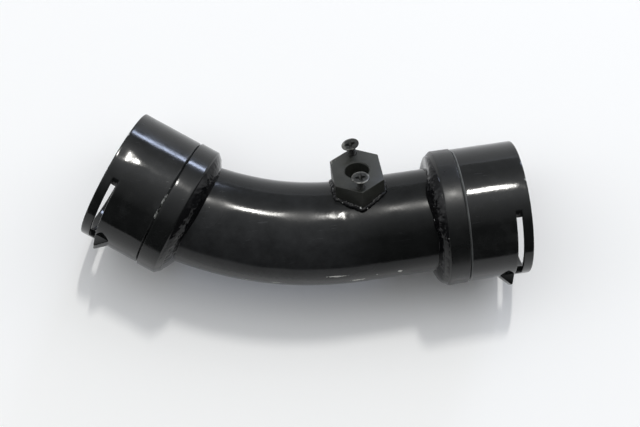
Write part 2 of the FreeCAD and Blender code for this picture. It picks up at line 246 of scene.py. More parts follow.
def puddle(point, size):
    # rounded lumps with creases between them, as molten metal sets, about -0.5 to 0.5
    return 0.5 - noise.voronoi(point / size)[0][0]


# Camera, as the photograph was taken

view = {
    "place": (-140.18, -36.732, 834.212), "right": (0.98794, -0.14684, 0.04911),
    "up": (0.14347, 0.98744, 0.06619), "back": (-0.05821, -0.05835, 0.9966), "lens": 85.073,
    "sensor": 36.0,
}
camera = bpy.data.objects.new("camera", bpy.data.cameras.new("camera"))
scene.collection.objects.link(camera)
cameraAxes = Matrix((view["right"], view["up"], view["back"])).transposed()
camera.matrix_world = Matrix.Translation(Vector(view["place"]) * mm) @ cameraAxes.to_4x4()
camera.data.lens = view["lens"]
camera.data.sensor_width = view["sensor"]
camera.data.sensor_fit = "HORIZONTAL"
camera.data.clip_start = 0.01
scene.camera = camera
print("camera placed")


# Materials

bareRoughness = 0.6     # scuffs and chips are matt
chipDepth = 0.08        # thickness of the paint


def enamel(name, finish):
    # Sprayed black alkyd enamel on steel: a wet gloss with faint orange peel, thin scuffs and small chips
    # that show pale filler. The eye sees mostly what it mirrors.
    material, tree = newMaterial(name)
    where = addNode(tree, "TexCoord").outputs["Object"]
    cloud = addNode(tree, "TexNoise", {
        "Vector": where,
        "Scale": 1000 / finish["cloudSize"],
        "Detail": 8.0,
        "Roughness": 0.72,
    })
    tone = addNode(tree, "MixRGB", {
        "Fac": cloud,
        "Color1": linear(finish["dark"]),
        "Color2": linear(finish["light"]),
    })
    # scuffs: noise drawn out along the part, only where a second noise lets it through
    stretch = addNode(tree, "Mapping", {"Vector": where, "Scale": (0.06, 1.0, 1.0)})
    streak = addNode(tree, "TexNoise", {
        "Vector": stretch,
        "Scale": 1000 / finish["scuffWidth"],
        "Detail": 3.0,
        "Roughness": 0.7,
    })
    patch = addNode(tree, "TexNoise", {"Vector": where, "Scale": 1000 / finish["scuffPatch"], "Detail": 2.0})
    streakMask = addNode(tree, "MapRange", {"Value": streak, "From Min": 0.62, "From Max": 0.72})
    patchMask = addNode(tree, "MapRange", {"Value": patch, "From Min": 0.52, "From Max": 0.66})
    scuff = addNode(tree, "Math", {0: streakMask, 1: patchMask}, operation="MULTIPLY")
    scuffed = addNode(tree, "Math", {0: scuff, 1: finish["scuff"]}, operation="MULTIPLY")
    # a grey film lies where the mesh says so: faint dust on the sleeves, a pale film on the tube's bend, and
    # on the seam edge of a sleeve rubbed paint with a painted highlight along it
    filmed = addNode(tree, "Attribute", attribute_name="film")
    filmCloud = addNode(tree, "Math", {0: filmed.outputs["Fac"], 1: cloud}, operation="MULTIPLY")
    # chips: the mesh carries how worn each point is, and a fine noise breaks that into flakes; on the welds
    # these pale flakes are painted glints, on the seam edges partly a painted highlight
    worn = addNode(tree, "Attribute", attribute_name="wear")
    flake = addNode(tree, "TexNoise", {
        "Vector": where,
        "Scale": 1000 / finish["flakeSize"],
        "Detail": 5.0,
        "Roughness": 0.65,
    })
    wornFlake = addNode(tree, "Math", {0: worn.outputs["Fac"], 1: flake}, operation="MULTIPLY")
    chip = addNode(tree, "MapRange", {"Value": wornFlake, "From Min": 0.3, "From Max": 0.36})
    colour = tone
    for mask, paint in ((scuffed, "scuffColour"), (filmCloud, "filmColour"), (chip, "chipColour")):
        colour = addNode(tree, "MixRGB", {"Fac": mask, "Color1": colour, "Color2": linear(finish[paint])})
    haze = addNode(tree, "TexNoise", {"Vector": where, "Scale": 1000 / finish["hazeSize"], "Detail": 5.0})
    gloss = addNode(tree, "MapRange", {
        "Value": haze,
        "From Min": 0.3,
        "From Max": 0.7,
        "To Min": finish["gloss"],
        "To Max": finish["haze"],
    })
    # handled places have lost some of their gloss, rubbed ones shine more
    dulled = addNode(tree, "Attribute", attribute_name="dull")
    dullGloss = addNode(tree, "Math", {0: gloss, 1: dulled.outputs["Fac"]}, operation="ADD")
    bare = addNode(tree, "Math", {0: chip, 1: scuffed}, operation="MAXIMUM")
    rough = addNode(tree, "MixRGB", {"Fac": bare, "Color1": dullGloss, "Color2": [bareRoughness] * 3 + [1.0]})
    peel = addNode(tree, "TexNoise", {"Vector": where, "Scale": 1000 / finish["peelSize"], "Detail": 2.0})
    peelBump = addNode(tree, "Bump", {"Height": peel, "Distance": finish["peelHeight"] * mm, "Strength": 1.0})
    chipBump = addNode(tree, "Bump", {
        "Height": chip,
        "Distance": chipDepth * mm,
        "Strength": 0.8,
        "Normal": peelBump,
    }, invert=True)
    shader = addNode(tree, "BsdfPrincipled", {
        "Base Color": colour,
        "Roughness": rough,
        "Normal": chipBump,
        "IOR": 1.5,
        "Specular IOR Level": finish["specular"],
    })
    addNode(tree, "OutputMaterial", {"Surface": shader})
    return material


tubeEnamel = enamel("blackEnamelTube", {
    "dark": "#060707", "light": "#1b1c1c", "cloudSize": 9.0,
    "scuffWidth": 0.8, "scuffPatch": 16.0, "scuff": 0.42, "scuffColour": "#525456",
    "filmColour": "#424345", "flakeSize": 1.3, "chipColour": "#dcdcd6",
    "gloss": 0.1, "haze": 0.16, "hazeSize": 9.0,
    "peelSize": 1.7, "peelHeight": 0.02, "specular": 0.19,
})
socketEnamel = enamel("blackEnamelSocket", {
    "dark": "#050606", "light": "#1a1b1b", "cloudSize": 8.0,
    "scuffWidth": 0.6, "scuffPatch": 12.0, "scuff": 0.36, "scuffColour": "#525456",
    "filmColour": "#616363", "flakeSize": 1.0, "chipColour": "#9b9d9a",
    "gloss": 0.085, "haze": 0.13, "hazeSize": 8.0,
    "peelSize": 1.4, "peelHeight": 0.014, "specular": 0.31,
})
# on the welds the pale chip colour paints glints on the lumps
weldEnamel = enamel("blackEnamelOnWeld", {
    "dark": "#070707", "light": "#101012", "cloudSize": 5.0,
    "scuffWidth": 0.6, "scuffPatch": 4.0, "scuff": 0.1, "scuffColour": "#636566",
    "filmColour": "#424345", "flakeSize": 0.7, "chipColour": "#b9bab8",
    "gloss": 0.08, "haze": 0.2, "hazeSize": 1.6,
    "peelSize": 0.7, "peelHeight": 0.03, "specular": 0.2,
})
blockEnamel = enamel("satinEnamelBlock", {
    "dark": "#161715", "light": "#333430", "cloudSize": 6.0,
    "scuffWidth": 0.35, "scuffPatch": 8.0, "scuff": 0.4, "scuffColour": "#747773",
    "filmColour": "#424345", "flakeSize": 0.6, "chipColour": "#989891",
    "gloss": 0.34, "haze": 0.5, "hazeSize": 3.0,
    "peelSize": 0.6, "peelHeight": 0.02, "specular": 0.34,
})


oxide = {
    # the pale colour is for the head's rim: partly rubbed metal, partly a painted glint
    "dark": "#070707", "light": "#353636", "rubbedAndHighlight": "#a3a29c",
    "stainSize": 1.2, "stainHeight": 0.03, "gloss": 0.28, "haze": 0.55,
}
rubber = {
    "dark": "#121212", "bloom": "#2a2a29", "bloomSize": 3.0,
    "grainSize": 0.35, "grainHeight": 0.02, "gloss": 0.5, "haze": 0.8,
}


def blackOxide(name):
    # Black-oxide steel screw: a dark satin metal, lighter on its edges, partly rubbed bright and partly a
    # painted glint
    material, tree = newMaterial(name)
    where = addNode(tree, "TexCoord").outputs["Object"]
    stain = addNode(tree, "TexNoise", {
        "Vector": where,
        "Scale": 1000 / oxide["stainSize"],
        "Detail": 5.0,
        "Roughness": 0.6,
    })
    worn = addNode(tree, "Attribute", attribute_name="wear")
    # the rim's pale colour: rubbed metal together with a painted glint
    rubbedAndHighlight = addNode(tree, "Math", {0: stain, 1: worn.outputs["Fac"]}, operation="MULTIPLY")
    tone = addNode(tree, "MixRGB", {
        "Fac": stain,
        "Color1": linear(oxide["dark"]),
        "Color2": linear(oxide["light"]),
    })
    colour = addNode(tree, "MixRGB", {"Fac": rubbedAndHighlight, "Color1": tone, "Color2": linear(oxide["rubbedAndHighlight"])})
    rough = addNode(tree, "MapRange", {"Value": stain, "To Min": oxide["gloss"], "To Max": oxide["haze"]})
    bump = addNode(tree, "Bump", {"Height": stain, "Distance": oxide["stainHeight"] * mm})
    shader = addNode(tree, "BsdfPrincipled", {
        "Base Color": colour,
        "Metallic": 0.85,
        "Roughness": rough,
        "Normal": bump,
    })
    addNode(tree, "OutputMaterial", {"Surface": shader})
    return material


def nitrile(name):
    # Moulded nitrile rubber: matt black with a faint bloom and a fine moulded grain
    material, tree = newMaterial(name)
    where = addNode(tree, "TexCoord").outputs["Object"]
    bloom = addNode(tree, "TexNoise", {"Vector": where, "Scale": 1000 / rubber["bloomSize"], "Detail": 4.0})
    grain = addNode(tree, "TexNoise", {"Vector": where, "Scale": 1000 / rubber["grainSize"], "Detail": 2.0})
    colour = addNode(tree, "MixRGB", {
        "Fac": bloom,
        "Color1": linear(rubber["dark"]),
        "Color2": linear(rubber["bloom"]),
    })
    rough = addNode(tree, "MapRange", {"Value": bloom, "To Min": rubber["gloss"], "To Max": rubber["haze"]})
    bump = addNode(tree, "Bump", {"Height": grain, "Distance": rubber["grainHeight"] * mm})
    shader = addNode(tree, "BsdfPrincipled", {
        "Base Color": colour,
        "Roughness": rough,
        "Normal": bump,
        "IOR": 1.52,
    })
    addNode(tree, "OutputMaterial", {"Surface": shader})
    return material


screwOxide = blackOxide("blackOxideScrew")
sealNitrile = nitrile("blackNitrileSeal")
print("materials made")


def setMarks(piece, name, marked):
    # how worn, filmed or dull the paint is at each vertex: marked(point in millimetres), 0 where it is whole
    values = [marked(v.co / mm) for v in piece.data.vertices]
    layer = piece.data.attributes.new(name, "FLOAT", "POINT")
    layer.data.foreach_set("value", values)


# Bent tube

tube = {
    "columns": 224, "straightRows": 56, "bendRows": 112, "innerColumns": 96, "innerRows": 40,
    "wave": 0.09,   # slow unevenness of the skin
    "waveSize": 26.0,
    # dents: along the tube from the right collar, angle round it from straight up, radius, depth
    "dents": [(46, 16, 13.0, 0.42), (84, 10, 9.0, 0.1), (119, -8, 6.0, 0.1), (97, -36, 11.0, 0.1),
              (50.5, 14, 3.4, 0.1), (56, 17.5, 3.0, 0.07)],
    # worn places: along, angle, half length along, half width round, strength
    "worn": [(57, -59.5, 7.5, 0.9, 1.0), (46, -74, 5.0, 1.2, 1.1), (23.5, -65.7, 1.6, 1.3, 1.2),
             (86, -77, 6.0, 0.9, 0.9), (99, -81, 5.0, 0.9, 0.9), (36, -66, 2.5, 0.6, 0.8),
             (126, 8, 2.0, 1.2, 0.58), (121, 30, 3.5, 1.4, 0.58), (129, -22, 2.0, 1.5, 0.58)],
    # places that have lost their gloss, given in the same way
    "dull": [(74, 15, 11.0, 6.0, 0.2), (33, 15, 10.0, 6.0, 0.2),
             (12, 15, 12.0, 6.0, 0.16), (123, 5, 8.0, 14.0, 0.2)],
    "fade": 6.0,   # the skin is even this near to the collars
    # pale grey film on the bend: strongest, least round the tube, how it falls off with the angle, where it
    # sets in
    "dust": {"most": 0.55, "least": 0.25, "level": 0.6, "slope": 2.0, "start": -62.0, "full": -92.0},
    # cutter for the sensor's bore: depth as a share of the block's height, height over the face
    "hole": {"columns": 64, "depth": 0.6, "over": 4.0},
}


def tubeSpot(along, angle, radius):
    # along is measured on the centre line from the right collar
    straight = rightCollar - bendStart
    side, top = radius * math.sin(angle), radius * math.cos(angle)
    if along <= straight:
        return Vector((rightCollar - along, side, top))
    swing = (along - straight) / bendRadius
    reach = bendRadius - side
    return Vector((bendMiddle.x - reach * math.sin(swing), bendMiddle.y - reach * math.cos(swing), top))


def tubeEnd(angle, radius):
    # where a line of the skin meets the plane of the left collar
    reach = bendRadius - radius * math.sin(angle)
    swing = turn - math.asin(trimReach / reach)
    return rightCollar - bendStart + swing * bendRadius


def tubeRelief(along, angle):
    spot = tubeSpot(along, angle, tubeRadius)
    height = tube["wave"] * fractal(spot, tube["waveSize"], 2)
    for dentAlong, dentAngle, size, depth in tube["dents"]:
        aside = tubeRadius * (angle - math.radians(dentAngle))
        far = ((along - dentAlong) ** 2 + aside ** 2) / size ** 2
        height -= depth * math.exp(-far * 2)
    toEnd = tubeEnd(angle, tubeRadius) - along
    return height * min(ramp(along, 0, tube["fade"]), ramp(toEnd, 0, tube["fade"]))


def tubeGrid(bm, columns, rowsStraight, rowsBend, radius, relief):
    straight = rightCollar - bendStart
    grid = []
    for c in range(columns):
        angle = math.tau * c / columns
        signed = angle if angle < math.pi else angle - math.tau
        end = tubeEnd(angle, radius)
        stops = [straight * k / rowsStraight for k in range(rowsStraight)]
        stops += [straight + (end - straight) * k / rowsBend for k in range(rowsBend + 1)]
        lift = tubeRelief if relief else (lambda along, about: 0.0)
        grid.append([bm.verts.new(tubeSpot(a, angle, radius + lift(a, signed)) * mm) for a in stops])
    joinLoops(bm, list(zip(*grid)))
    return grid


def ringBetween(bm, outer, inner, row):
    # annulus between two loops of different counts, filled as one strip of triangles
    loops = [[column[row] for column in grid] for grid in (outer, inner)]
    many, few = loops
    share = len(many) / len(few)
    for i, vert in enumerate(many):
        ahead = many[(i + 1) % len(many)]
        near = few[int((i + 0.5) / share) % len(few)]
        nextNear = few[int((i + 1.5) / share) % len(few)]
        bm.faces.new((vert, ahead, near))
        if nextNear is not near:
            bm.faces.new((ahead, nextNear, near))


boss = {
    "along": 63.8,   # from the crossing of the socket axes
    "tilt": 45.0, "aside": 6.5,
    "stand": 9.15,   # face over the tube's skin
    "width": 26.5, "length": 38.6, "flat": 21.6,
    "edge": 0.45,   # worn edge of the block
    "sunk": 0.2, "bore": 6.6, "screwHole": 2.05, "screwSpacing": 28.9,
    # leads of the holes: how deep, how much wider, height where they are widest
    "boreLead": (0.5, 0.8, 0.3), "screwLead": (0.35, 0.45, 0.1),
    "cutOver": 3.0,   # how far the cutters reach over the face
    "cutColumns": (72, 40), "cope": (160, 60, 90),
    "wear": 0.62,   # on the edges of the face
    "wearReach": 0.6, "wearFrom": 9.0, "wearSize": 5.0,
}
tilt = math.radians(boss["tilt"])
bossHeight = tubeRadius + boss["stand"]
bossUp = Vector((0, math.sin(tilt), math.cos(tilt)))
bossDown = Vector((0, math.cos(tilt), -math.sin(tilt)))
bossFace = Vector((layout["elbow"] + boss["along"], 0, 0)) + bossUp * bossHeight + bossDown * boss["aside"]
bossSpace = Matrix.Translation(bossFace) @ Matrix.Rotation(-tilt, 4, "X")


def latheCutter(profile, space, columns):
    # closed round cutter from (radius, height) points, going up
    bm = bmesh.new()
    rings = []
    for radius, height in profile:
        ring = []
        for c in range(columns):
            angle = math.tau * c / columns
            local = Vector((radius * math.cos(angle), radius * math.sin(angle), height))
            ring.append(bm.verts.new(space @ local * mm))
        rings.append(ring)
    closeLoops(bm, rings)
    return makePiece("cutter", bm, tubeEnamel)


bm = bmesh.new()
outerGrid = tubeGrid(bm, tube["columns"], tube["straightRows"], tube["bendRows"], tubeRadius, True)
innerRadius = tubeRadius - layout["tubeWall"]
innerGrid = tubeGrid(bm, tube["innerColumns"], tube["innerRows"] // 2, tube["innerRows"], innerRadius, False)
ringBetween(bm, outerGrid, innerGrid, 0)
ringBetween(bm, outerGrid, innerGrid, -1)
bentTube = makePiece("bentTube", bm, tubeEnamel, "main_tube")
hole = tube["hole"]
holeProfile = [(boss["bore"], -bossHeight * hole["depth"]), (boss["bore"], hole["over"])]
cutAway(bentTube, latheCutter(holeProfile, bossSpace, hole["columns"]))
resmooth(bentTube, limit=40)


def tubeMark(point, spots):
    along, beside = tubeAxes(point)
    angle = math.atan2(beside, point.z)
    worst = 0.0
    for spotAlong, spotAngle, halfLength, halfWidth, strength in spots:
        aside = tubeRadius * (angle - math.radians(spotAngle))
        far = ((along - spotAlong) / halfLength) ** 2 + (aside / halfWidth) ** 2
        worst = max(worst, strength * math.exp(-far))
    return worst


setMarks(bentTube, "wear", lambda point: tubeMark(point, tube["worn"]))
setMarks(bentTube, "dull", lambda point: tubeMark(point, tube["dull"]))


def tubeFilm(point):
    # a pale grey film on the bend, most on the side away from the block
    dust = tube["dust"]
    angle = math.atan2(tubeAxes(point)[1], point.z)
    share = min(1.0, max(dust["least"], dust["level"] - dust["slope"] * angle))
    return dust["most"] * share * ramp(point.x, dust["start"], dust["full"])


setMarks(bentTube, "film", tubeFilm)
print("tube made:", len(bentTube.data.polygons), "faces")


# Sockets

collar = {
    "columns": 320, "longest": 1.6, "tubeBore": 26.5, "bevelFoot": 34.5, "radius": 37.5,
    "bevel": 3.2, "length": 13.6, "bushing": 34.85, "front": 30.0, "seat": 30.15, "groove": 33.05,
    "grooveBack": 21.8, "grooveFront": 26.2,
    "rounds": {"bore": 0.2, "foot": 0.5, "edge": 0.35, "groove": 0.25, "inside": 0.3},
    "wave": 0.03, "waveSize": 14.0,
    "wear": 0.52,   # on the two outer edges
    "wearSize": 9.0, "wearFrom": 37.0, "bevelReach": 0.7, "seamReach": 0.5,
    "dull": {"left": 0.05, "right": 0.2},
    "dullSize": 5.0,
}
sleeve = {
    "columns": 400, "longest": 1.1, "back": 13.9, "backBevel": 0.9, "mouth": 48.5, "radius": 37.0,
    "bore": 34.25, "counterbore": 34.9, "shoulder": 30.0, "lead": 0.7, "slotBack": 39.9,
    "slotFront": 43.3, "slotFloor": 29.5, "slotMiddles": (43.0, 133.0), "slotEdge": 0.28,
    "rounds": {"back": 0.25, "inside": 0.2},
    "wave": 0.035, "waveSize": 15.0,
    # paint marks: strengths, angles between which they lie, grain of the noise that breaks them up
    "rubbedAndHighlight": {"left": 0.3, "right": 1.7},   # the edge at the seam painted lighter grey, partly rubbed paint and partly a painted highlight
    "scrapedAndHighlight": {"left": (-10.0, 20.0), "right": (0.0, 0.0)},   # pale chips on that edge, partly bare metal and partly painted highlight dashes
    "seamReach": 0.15, "mouthWear": 0.6, "mouthReach": 0.9,
    "knocked": {"left": -34.0, "right": -20.0},   # where the mouth has been struck
    "knockWidth": 5.0, "knockReach": 2.5,
    "hazed": {"left": 0.09, "right": 0.0},   # dulled on the window side
    "hazedFrom": (-34.0, -40.0),
    "dull": {"left": -0.04, "right": 0.0},   # glossier on top, up to the slot
    "dullFrom": (-32.0, -24.0), "dullTo": (37.0, 34.0),
    "grain": {"wear": 7.0, "scrapeAndHighlight": 4.0, "film": 11.0, "rubAndHighlight": 9.0, "haze": 7.0},
    # dents: along, angle, half length, half width round, depth
    "dents": {
        "left": [(43.9, -17, 5.6, 4.6, 0.34), (41.0, -7, 3.0, 4.0, 0.06),
                 (47.5, -28, 2.6, 4.0, 0.14), (33, 25, 9, 12, 0.1)],
        "right": [(48.0, -19, 2.6, 4.5, 0.16), (24, 14, 9, 14, 0.1), (36, 66, 8, 12, 0.1)],
    },
}


def makeCollar(side):
    c, rounds = collar, collar["rounds"]
    profile = roundedProfile([
        (0.0, c["tubeBore"], rounds["bore"]),
        (0.0, c["bevelFoot"], rounds["foot"]),
        (c["bevel"], c["radius"], rounds["edge"]),
        (c["length"], c["radius"], rounds["edge"]),
        (c["length"], c["bushing"], 0),
        (c["front"], c["bushing"], rounds["inside"]),
        (c["front"], c["seat"], rounds["inside"]),
        (c["grooveFront"], c["seat"], rounds["groove"]),
        (c["grooveFront"], c["groove"], rounds["groove"]),
        (c["grooveBack"], c["groove"], rounds["groove"]),
        (c["grooveBack"], c["seat"], rounds["groove"]),
        (c["length"], c["seat"], rounds["inside"]),
        (c["length"], c["tubeBore"], rounds["inside"]),
    ], c["longest"])

    def place(along, radius, column):
        angle = math.tau * column / c["columns"]
        if radius > c["bushing"] + 0.1:      # only the outside is uneven
            radius += c["wave"] * fractal(socketPoint(side, along, radius, angle), c["waveSize"], 2)
        return socketPoint(side, along, radius, angle) * mm

    bm, grid = lathe(profile, c["columns"], place)
    piece = makePiece(side + "Collar", bm, socketEnamel, side + "_collar", sharp=24)

    def worn(point):
        along, radius, about = socketPlace(side, point)
        if radius <= c["wearFrom"]:
            return 0.0
        atBevel = 1 - abs(along - c["bevel"]) / c["bevelReach"]
        atSeam = 1 - abs(along - c["length"]) / c["seamReach"]
        return c["wear"] * max(0.0, atBevel, atSeam) * (0.55 + 0.45 * fractal(point, c["wearSize"], 2))

    setMarks(piece, "wear", worn)
    setMarks(piece, "dull", lambda point: c["dull"][side] * (1 + 0.3 * fractal(point, c["dullSize"], 2)))
    return piece


def slotColumns():
    # column angles on the outside and in the bore, so that a slot's ends are flat as the saw left them
    s = sleeve
    halves = [math.degrees(math.acos(s["slotFloor"] / radius)) for radius in (s["radius"], s["bore"])]
    breaks = [[middle + way * half for half in halves] for middle in s["slotMiddles"] for way in (-1, 1)]
    breaks.append([angle + 360 for angle in breaks[0]])
    angles, marks = [], []
    for here, ahead in zip(breaks, breaks[1:]):
        parts = max(6, round((ahead[0] - here[0]) / 360 * s["columns"]))
        marks.append(len(angles))
        for k in range(parts):
            angles.append([math.radians(a + (b - a) * k / parts) for a, b in zip(here, ahead)])
    return angles, [marks[0:2], marks[2:4]]


def sleeveRelief(side, along, angle):
    spot = socketPoint(side, along, sleeve["radius"], angle)
    height = sleeve["wave"] * fractal(spot, sleeve["waveSize"], 2)
    signed = math.degrees((angle + math.pi) % math.tau - math.pi)
    for dentAlong, dentAngle, halfLength, halfWidth, depth in sleeve["dents"][side]:
        aside = sleeve["radius"] * math.radians(signed - dentAngle)
        far = ((along - dentAlong) / halfLength) ** 2 + (aside / halfWidth) ** 2
        height -= depth * math.exp(-far)
    return height


def makeSleeve(side):
    s, rounds = sleeve, sleeve["rounds"]
    angles, windows = slotColumns()
    corners = [
        (s["back"], s["counterbore"], rounds["inside"]),
        (s["back"], s["radius"] - s["backBevel"], rounds["back"]),
        (s["back"] + s["backBevel"], s["radius"], rounds["back"]),
        (s["slotBack"], s["radius"], 0),
        (s["slotFront"], s["radius"], 0),
        (s["mouth"], s["radius"], s["lead"]),
        (s["mouth"], s["bore"], s["lead"]),
        (s["slotFront"], s["bore"], 0),
        (s["slotBack"], s["bore"], 0),
        (s["shoulder"], s["bore"], rounds["inside"]),
        (s["shoulder"], s["counterbore"], 0),
    ]
    profile = roundedProfile(corners, s["longest"])

    def place(along, radius, column):
        depth = ramp(radius, s["radius"], s["bore"])
        outside, inside = angles[column]
        angle = outside * (1 - depth) + inside * depth
        return socketPoint(side, along, radius + sleeveRelief(side, along, angle), angle) * mm

    bm, grid = lathe(profile, len(angles), place)
    low, high = s["slotBack"] - sameSpot, s["slotFront"] + sameSpot
    slotRows = [k for k, p in enumerate(profile) if low < p.x < high]
    slotRows.sort(key=lambda k: profile[k].x)
    outRows = [k for k in slotRows if profile[k].y > s["counterbore"]]
    inRows = [k for k in slotRows if profile[k].y < s["counterbore"]]
    rims = []
    for first, last in windows:
        gone = []
        for c in range(first, last):
            for k, j in list(zip(outRows, outRows[1:])) + list(zip(inRows, inRows[1:])):
                corner = (grid[c][k], grid[c + 1][k], grid[c + 1][j], grid[c][j])
                gone.append(bm.faces.get(corner))
        bmesh.ops.delete(bm, geom=gone, context="FACES_ONLY")
        for k, j in ((outRows[0], inRows[0]), (outRows[-1], inRows[-1])):
            for c in range(first, last):
                bm.faces.new((grid[c][k], grid[c + 1][k], grid[c + 1][j], grid[c][j]))
                rims += [(grid[c][k], grid[c + 1][k]), (grid[c][j], grid[c + 1][j])]
        for c in (first, last):
            for (k, nextK), (j, nextJ) in zip(zip(outRows, outRows[1:]), zip(inRows, inRows[1:])):
                bm.faces.new((grid[c][k], grid[c][nextK], grid[c][nextJ], grid[c][j]))
                rims += [(grid[c][k], grid[c][nextK]), (grid[c][j], grid[c][nextJ])]
    loose = [edge for edge in bm.edges if not edge.link_faces]
    bmesh.ops.delete(bm, geom=loose, context="EDGES")
    spare = [vert for vert in bm.verts if not vert.link_faces]
    bmesh.ops.delete(bm, geom=spare, context="VERTS")
    bmesh.ops.recalc_face_normals(bm, faces=bm.faces)
    rimEdges = [bm.edges.get(pair) for pair in rims]
    bmesh.ops.bevel(bm, geom=rimEdges, offset=s["slotEdge"] * mm, segments=2, profile=0.5,
                    affect="EDGES", clamp_overlap=True)
    piece = makePiece(side + "Sleeve", bm, socketEnamel, side + "_sleeve", sharp=28)
    seamEnd = s["back"] + s["backBevel"] + s["seamReach"]
    grain = s["grain"]

    def worn(point):
        along, radius, about = socketPlace(side, point)
        if radius < s["bore"] + 1:
            return 0.0
        fromMouth = abs(along - s["mouth"])
        atMouth = s["mouthWear"] * max(0.0, 1 - fromMouth / s["mouthReach"])
        knocked = math.exp(-((about - s["knocked"][side]) / s["knockWidth"]) ** 2)
        knocked *= max(0.0, 1 - fromMouth / s["knockReach"])
        # pale dashes on the seam edge: partly bare metal, partly a painted highlight
        start, end = s["scrapedAndHighlight"][side]
        atSeam = along < seamEnd and start < about < end
        scrapedAndHighlight = 0.62 + 0.5 * fractal(point, grain["scrapeAndHighlight"], 2) if atSeam else 0.0
        return max(atMouth * (0.5 + 0.5 * fractal(point, grain["wear"], 2)), 0.9 * knocked, scrapedAndHighlight)

    def rubbedAndHighlight(point):
        along, radius, about = socketPlace(side, point)
        if radius < s["radius"] - 1.1:
            return 0.0
        # away from the seam faint dust; on the seam edge a lighter grey line, partly rubbed paint and partly
        # a painted highlight
        if along > seamEnd:
            return max(0.0, 0.1 * fractal(point, grain["film"], 3))
        return max(0.0, s["rubbedAndHighlight"][side] + 0.5 * fractal(point, grain["rubAndHighlight"], 2))

    def handled(point):
        along, radius, about = socketPlace(side, point)
        hazed = s["hazed"][side] * ramp(about, *s["hazedFrom"]) * (1 + 0.9 * fractal(point, grain["haze"], 3))
        return hazed + s["dull"][side] * ramp(about, *s["dullFrom"]) * ramp(along, *s["dullTo"])

    setMarks(piece, "wear", worn)
    setMarks(piece, "film", rubbedAndHighlight)
    setMarks(piece, "dull", handled)
    return piece


for side in sockets:
    makeCollar(side)
    made = makeSleeve(side)
    print(side, "socket made:", len(made.data.polygons), "faces in the sleeve")


# Clip lugs, pressed wedges that hold the wire clip

lug = {
    "angle": {"left": 75.0, "right": 88.0},
    # along, out from the axis, how much narrower than the foot
    "section": [(31.5, 35.6, 0.0), (31.8, 37.0, 0.0), (37.15, 42.4, 0.9),
                (37.95, 42.15, 0.9), (39.5, 37.0, 0.0), (39.5, 35.6, 0.0)],
    "half": 4.5, "round": 0.5, "sharp": 20.0,
}


def makeLug(side):
    g = lug
    angle = math.radians(g["angle"][side])
    bm = bmesh.new()
    rows = []
    for across in (-1, -0.5, 0, 0.5, 1):
        row = []
        for along, height, draw in g["section"]:
            aside = across * (g["half"] - draw)
            local = Vector((along, aside, height))
            local.rotate(Matrix.Rotation(-sockets[side]["sign"] * angle, 3, "X"))
            row.append(bm.verts.new(sockets[side]["space"] @ local * mm))
        rows.append(row)
    joinLoops(bm, rows)
    bm.faces.new(rows[0])
    bm.faces.new(rows[-1])
    bmesh.ops.recalc_face_normals(bm, faces=bm.faces)
    corners = [e for e in bm.edges if e.calc_face_angle(0) > math.radians(g["sharp"])]
    bmesh.ops.bevel(bm, geom=corners, offset=g["round"] * mm, segments=3, profile=0.5,
                    affect="EDGES", clamp_overlap=True)
    return makePiece(side + "ClipLug", bm, socketEnamel, side + "_clip_lug", sharp=40)


# Seal rings, with the faint flash line of the mould

seal = {
    "middle": 24.0, "radius": 31.3, "section": 1.73, "flash": 0.06, "flashPower": 24,
    "columns": 256, "steps": 28,
}


def makeSeal(side):
    profile = []
    for k in range(seal["steps"]):
        about = math.tau * k / seal["steps"]
        swell = seal["section"] + seal["flash"] * max(0.0, math.cos(2 * about)) ** seal["flashPower"]
        along, radius = swell * math.sin(about), swell * math.cos(about)
        profile.append(Vector((seal["middle"] + along, seal["radius"] + radius)))

    def place(along, radius, column):
        return socketPoint(side, along, radius, math.tau * column / seal["columns"]) * mm

    bm, grid = lathe(profile, seal["columns"], place)
    return makePiece(side + "Seal", bm, sealNitrile, side + "_seal", sharp=60)


for side in sockets:
    makeLug(side)
    makeSeal(side)
print("lugs and seals made")


# Weld beads between tube and collars, laid by hand

weld = {
    "columns": 520, "steps": 28,
    "bevel": [(-0.1, 34.4), (3.0, 37.3)],   # the bead ends on the collar's bevel
    # run of the bead: angle from straight up towards the clip side, leg on the tube, fullness, how lumpy,
    # how far up the collar's bevel
    "run": {
        "right": [(-150, 3.6, 0.3, 0.3, 1.0), (-90, 0.35, 0.6, 0.03, 0.25), (-62, 1.2, 0.5, 0.12, 0.5),
                  (-24, 5.0, 0.35, 0.7, 0.9), (6, 3.4, 0.3, 1.0, 1.0), (26, 1.8, 0.2, 1.0, 0.9),
                  (56, 2.2, 0.2, 0.2, 0.8), (88, 3.0, 0.34, 0.03, 0.8), (150, 4.2, 0.3, 0.3, 1.0)],
        "left": [(-150, 4.2, 0.3, 0.3, 1.0), (-90, 2.4, 0.06, 0.04, 0.8), (-44, 4.4, 0.2, 0.4, 0.8),
                 (0, 4.8, 0.25, 0.7, 0.9), (40, 3.4, 0.2, 0.6, 0.8), (90, 4.4, 0.05, 0.06, 0.8),
                 (150, 4.0, 0.3, 0.3, 1.0)],
    },
    "puddle": {"right": 0.9, "left": 0.6},
    "puddleSize": 2.6, "lump": 0.45, "lumpSize": 6.0, "crust": 0.1, "crustSize": 1.0,
    "heel": (0.6, 33.4),   # the bead's hidden corner inside the collar
    "tuck": (0.5, -0.9),   # from its upper edge into the collar
    "press": 0.12,   # how far its foot goes into the tube's skin
    "sink": 0.7,   # how deep the bead sits in the tube's wall
    "glintSpecks": {"right": 0.74, "left": 0.5},   # pale specks painted as glints on the lumps
    "glintSpeckSize": 2.0,
}


def sunkToTube(point, depth):
    # nothing of a bead comes through the tube's wall
    out = tubeOut(point)
    if out < -depth:
        point = point + tubeNormal(point) * (-depth - out)
    return point


